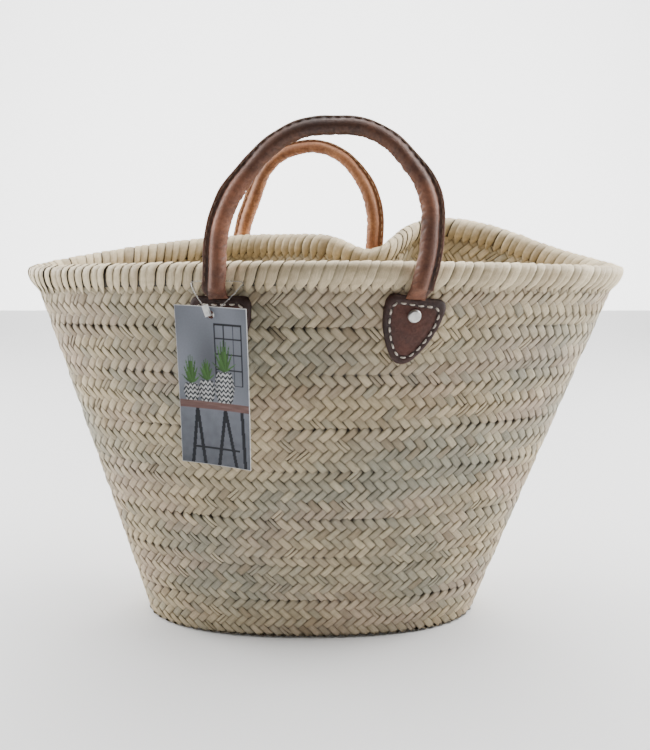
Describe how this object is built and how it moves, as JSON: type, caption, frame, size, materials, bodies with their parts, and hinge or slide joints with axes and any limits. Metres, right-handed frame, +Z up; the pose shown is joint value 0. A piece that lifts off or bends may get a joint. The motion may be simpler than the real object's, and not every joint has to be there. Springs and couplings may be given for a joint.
{
  "type": "woven market basket",
  "caption": "Wide flaring basket of sewn palm-leaf braid with a wrapped rim, folding rolled-leather handles and a hang tag.",
  "frame": {"origin": "centre of the underside of the oval floor, on the surface the basket stands on", "axes": "+Z up, X along the basket's length, -Y towards the side with the hang tag"},
  "size_m": [0.4946, 0.2496, 0.4275],
  "materials": {
    "palm_leaf": "dry matt woven leaf",
    "palm_rim": "dry matt pale leaf",
    "seam_cord": "twisted leaf cord",
    "dark_leather": "waxed, satin",
    "tan_leather": "natural, satin",
    "patch_leather": "waxed, satin",
    "rope": "twisted rope",
    "white_thread": "waxed thread",
    "brown_thread": "waxed thread",
    "rivet_steel": "plated, hammered",
    "printed_card": "coated card",
    "clear_filament": "semi-clear"
  },
  "bodies": {
    "basket": {"floor_centre_braid": "palm_leaf", "floor_outer_braid": "palm_leaf", "floor_seam_cord": "seam_cord", "braid_course_1": "palm_leaf", "seam_cord_1": "seam_cord", "braid_course_2": "palm_leaf", "seam_cord_2": "seam_cord", "braid_course_3": "palm_leaf", "seam_cord_3": "seam_cord", "braid_course_4": "palm_leaf", "seam_cord_4": "seam_cord", "braid_course_5": "palm_leaf", "seam_cord_5": "seam_cord", "braid_course_6": "palm_leaf", "seam_cord_6": "seam_cord", "braid_course_7": "palm_leaf", "seam_cord_7": "seam_cord", "braid_course_8": "palm_leaf", "seam_cord_8": "seam_cord", "rim_core_bundle": "palm_leaf", "rim_wrap": "palm_rim", "front_left_patch": "patch_leather", "front_left_patch_stitches": "white_thread", "front_left_handle_tab": "dark_leather", "front_left_rivet": "rivet_steel", "front_left_rivet_washer": "rivet_steel", "front_right_patch": "patch_leather", "front_right_patch_stitches": "white_thread", "front_right_handle_tab": "dark_leather", "front_right_rivet": "rivet_steel", "front_right_rivet_washer": "rivet_steel", "rear_left_patch": "patch_leather", "rear_left_patch_stitches": "white_thread", "rear_left_handle_tab": "tan_leather", "rear_left_rivet": "rivet_steel", "rear_left_rivet_washer": "rivet_steel", "rear_right_patch": "patch_leather", "rear_right_patch_stitches": "white_thread", "rear_right_handle_tab": "tan_leather", "rear_right_rivet": "rivet_steel", "rear_right_rivet_washer": "rivet_steel"},
    "front_handle": {"front_handle_leather": "dark_leather", "front_handle_rope_core": "rope", "front_handle_seam_thread": "brown_thread"},
    "rear_handle": {"rear_handle_leather": "tan_leather", "rear_handle_rope_core": "rope", "rear_handle_seam_thread": "brown_thread"},
    "tag_hanger": {"tag_loop": "clear_filament", "tag_lock": "clear_filament"},
    "tag": {"tag_card": "printed_card"}
  },
  "joints": [
    {"name": "front_handle_fold", "type": "hinge", "parent": "basket", "child": "front_handle", "pos_m": [0.0075, -0.112, 0.306], "axis": [1, 0, 0], "range_deg": [-4, 85]},
    {"name": "rear_handle_fold", "type": "hinge", "parent": "basket", "child": "rear_handle", "pos_m": [-0.00835, 0.09531, 0.306], "axis": [-0.9704, 0.2414, 0], "range_deg": [0, 105]},
    {"name": "tag_hang", "type": "hinge", "parent": "front_handle", "child": "tag_hanger", "pos_m": [-0.0625, -0.112, 0.3095], "axis": [1, 0, 0], "range_deg": [-85, 4]},
    {"name": "tag_swing", "type": "hinge", "parent": "tag_hanger", "child": "tag", "pos_m": [-0.0645, -0.1225, 0.2955], "axis": [-0.342, -0.9397, 0], "range_deg": [-20, 20]}
  ],
  "couplings": [
    {"joint": "tag_hang", "follows": "front_handle_fold", "ratio": -1}
  ]
}
